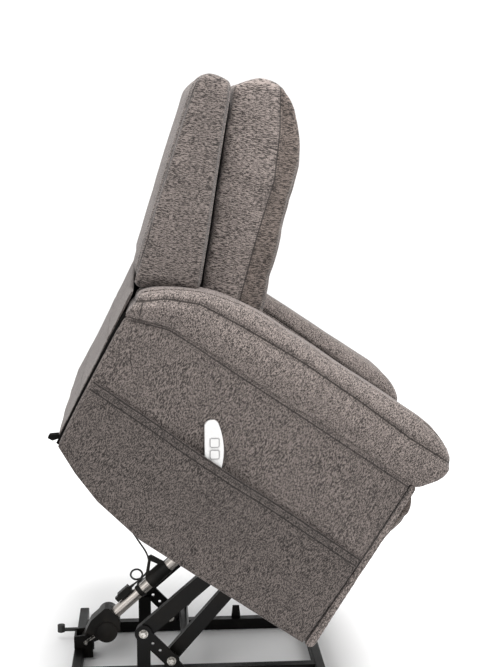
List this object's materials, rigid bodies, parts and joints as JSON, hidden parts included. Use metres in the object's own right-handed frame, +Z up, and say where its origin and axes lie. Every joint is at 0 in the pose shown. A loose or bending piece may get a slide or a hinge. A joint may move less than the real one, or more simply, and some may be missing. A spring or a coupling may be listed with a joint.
{
  "type": "lift recliner chair",
  "caption": "Upholstered lift recliner raised on its steel lift linkage, with linear actuator, reclining back, folding leg rest and a hand control in a side pocket.",
  "frame": {"origin": "middle of the footprint, on the floor, with the chair at the top of its lift", "axes": "+X towards the chair's front, +Y towards the sitter's left, +Z up"},
  "size_m": [0.9671, 0.8343, 1.5134],
  "materials": {
    "bolt_chrome": "bright zinc",
    "button_grey": "pale grey",
    "cable_jacket": "matt",
    "fabric_dark": "black dust cover",
    "fabric_front": "grey-brown chenille",
    "fabric_side": "grey-brown chenille",
    "foot_rubber": "matt",
    "frame_wood": "plywood",
    "handset_white": "white",
    "housing_plastic": "fine texture, black",
    "steel_black": "satin black powder coat",
    "tube_silver": "brushed"
  },
  "bodies": {
    "base": {"base_rail_right": "steel_black", "base_rail_left": "steel_black", "base_rear_tube": "steel_black", "base_front_tube": "steel_black", "tube_end_caps": "housing_plastic", "base_glides": "foot_rubber", "lift_stand_right": "steel_black", "lift_stand_left": "steel_black", "lift_pivot_bolts": "bolt_chrome", "actuator_clevis": "steel_black", "clevis_pin": "bolt_chrome", "rear_bumper": "foot_rubber"},
    "upper_links": {"upper_link_right": "steel_black", "upper_link_left": "steel_black", "upper_cross_tube": "steel_black"},
    "lower_links": {"lower_link_right": "steel_black", "lower_link_left": "steel_black", "lower_cross_tube": "steel_black"},
    "actuator_body": {"gear_housing": "housing_plastic", "motor_can": "steel_black", "actuator_tube": "tube_silver", "cable_clips": "housing_plastic", "motor_plug": "housing_plastic", "motor_cable": "cable_jacket"},
    "actuator_rod": {"actuator_rod": "bolt_chrome"},
    "backrest": {"back_shell": "fabric_side", "back_board": "fabric_dark", "back_cushion": "fabric_front", "recline_brackets": "steel_black"},
    "legrest_arms": {"leg_drive_arms": "steel_black"},
    "legrest_links": {"leg_links": "steel_black"},
    "legrest": {"leg_board": "frame_wood", "leg_pad": "fabric_front"},
    "handset": {"handset_body": "handset_white"},
    "button_up": {"handset_button_up": "button_grey"},
    "button_down": {"handset_button_down": "button_grey"},
    "chair": {"arm_front_left": "fabric_side", "arm_front_right": "fabric_side", "arm_pad_left": "fabric_side", "arm_pad_right": "fabric_side", "chair_pivot_bolts": "bolt_chrome", "control_box": "housing_plastic", "inner_arm_left": "fabric_front", "inner_arm_right": "fabric_front", "lift_cross_tube": "steel_black", "lift_mount_left": "steel_black", "lift_mount_right": "steel_black", "rear_skirt": "fabric_side", "rear_skirt_top": "fabric_side", "seat_cushion": "fabric_front", "seat_front_rail": "frame_wood", "seat_rail_left": "steel_black", "seat_rail_right": "steel_black", "seat_rear_rail": "frame_wood", "seat_straps": "fabric_dark", "side_cover_left": "fabric_side", "side_cover_right": "fabric_side", "side_frame_left": "fabric_dark", "side_frame_right": "fabric_dark", "side_pocket": "fabric_side"}
  },
  "joints": [
    {"name": "lift_swing", "type": "hinge", "parent": "base", "child": "upper_links", "pos_m": [-0.245, 0, 0.128], "axis": [0, 1, 0], "range_deg": [0, 48.5], "deforming": ["motor_cable"]},
    {"name": "lower_link_swing", "type": "hinge", "parent": "base", "child": "lower_links", "pos_m": [-0.175, 0, 0.054], "axis": [0, 1, 0], "range_deg": [0, 49.06]},
    {"name": "chair_tilt", "type": "hinge", "parent": "upper_links", "child": "chair", "pos_m": [-0.00569, 0, 0.33603], "axis": [0, 1, 0], "range_deg": [-82.55, 0]},
    {"name": "actuator_pivot", "type": "hinge", "parent": "base", "child": "actuator_body", "pos_m": [-0.398, 0, 0.05], "axis": [0, 1, 0], "range_deg": [0, 16.88]},
    {"name": "actuator_stroke", "type": "slide", "parent": "actuator_body", "child": "actuator_rod", "axis": [-0.7467, 0, -0.6651], "range_m": [0, 0.14402]},
    {"name": "back_recline", "type": "hinge", "parent": "chair", "child": "backrest", "pos_m": [-0.2123, 0, 0.76896], "axis": [0, -1, 0], "range_deg": [0, 28], "deforming": ["rear_skirt_top"]},
    {"name": "legrest_swing", "type": "hinge", "parent": "chair", "child": "legrest_arms", "pos_m": [0.17248, 0, 0.4274], "axis": [0, -1, 0], "range_deg": [0, 102]},
    {"name": "legrest_fold", "type": "hinge", "parent": "legrest_arms", "child": "legrest_links", "pos_m": [0.06817, 0, 0.31924], "axis": [0, -1, 0], "range_deg": [-146.6, 0]},
    {"name": "legrest_tilt", "type": "hinge", "parent": "legrest_links", "child": "legrest", "pos_m": [0.28678, 0, 0.43233], "axis": [0, -1, 0], "range_deg": [0, 126.6]},
    {"name": "handset_lift_out", "type": "slide", "parent": "chair", "child": "handset", "axis": [0, 0, 1], "range_m": [0, 0.13]},
    {"name": "button_up_press", "type": "slide", "parent": "handset", "child": "button_up", "axis": [0, 1, 0], "range_m": [0, 0.0014], "stiffness_N_per_m": 600},
    {"name": "button_down_press", "type": "slide", "parent": "handset", "child": "button_down", "axis": [0, 1, 0], "range_m": [0, 0.0014], "stiffness_N_per_m": 600}
  ],
  "couplings": [
    {"joint": "lower_link_swing", "follows": "lift_swing", "ratio": 1.0105},
    {"joint": "chair_tilt", "follows": "lift_swing", "ratio": -1.7011},
    {"joint": "actuator_pivot", "follows": "lift_swing", "ratio": 0.34706},
    {"joint": "actuator_stroke", "follows": "lift_swing", "m_per_rad": 0.16991},
    {"joint": "legrest_fold", "follows": "legrest_swing", "ratio": -1.4363},
    {"joint": "legrest_tilt", "follows": "legrest_swing", "ratio": 1.2402}
  ]
}
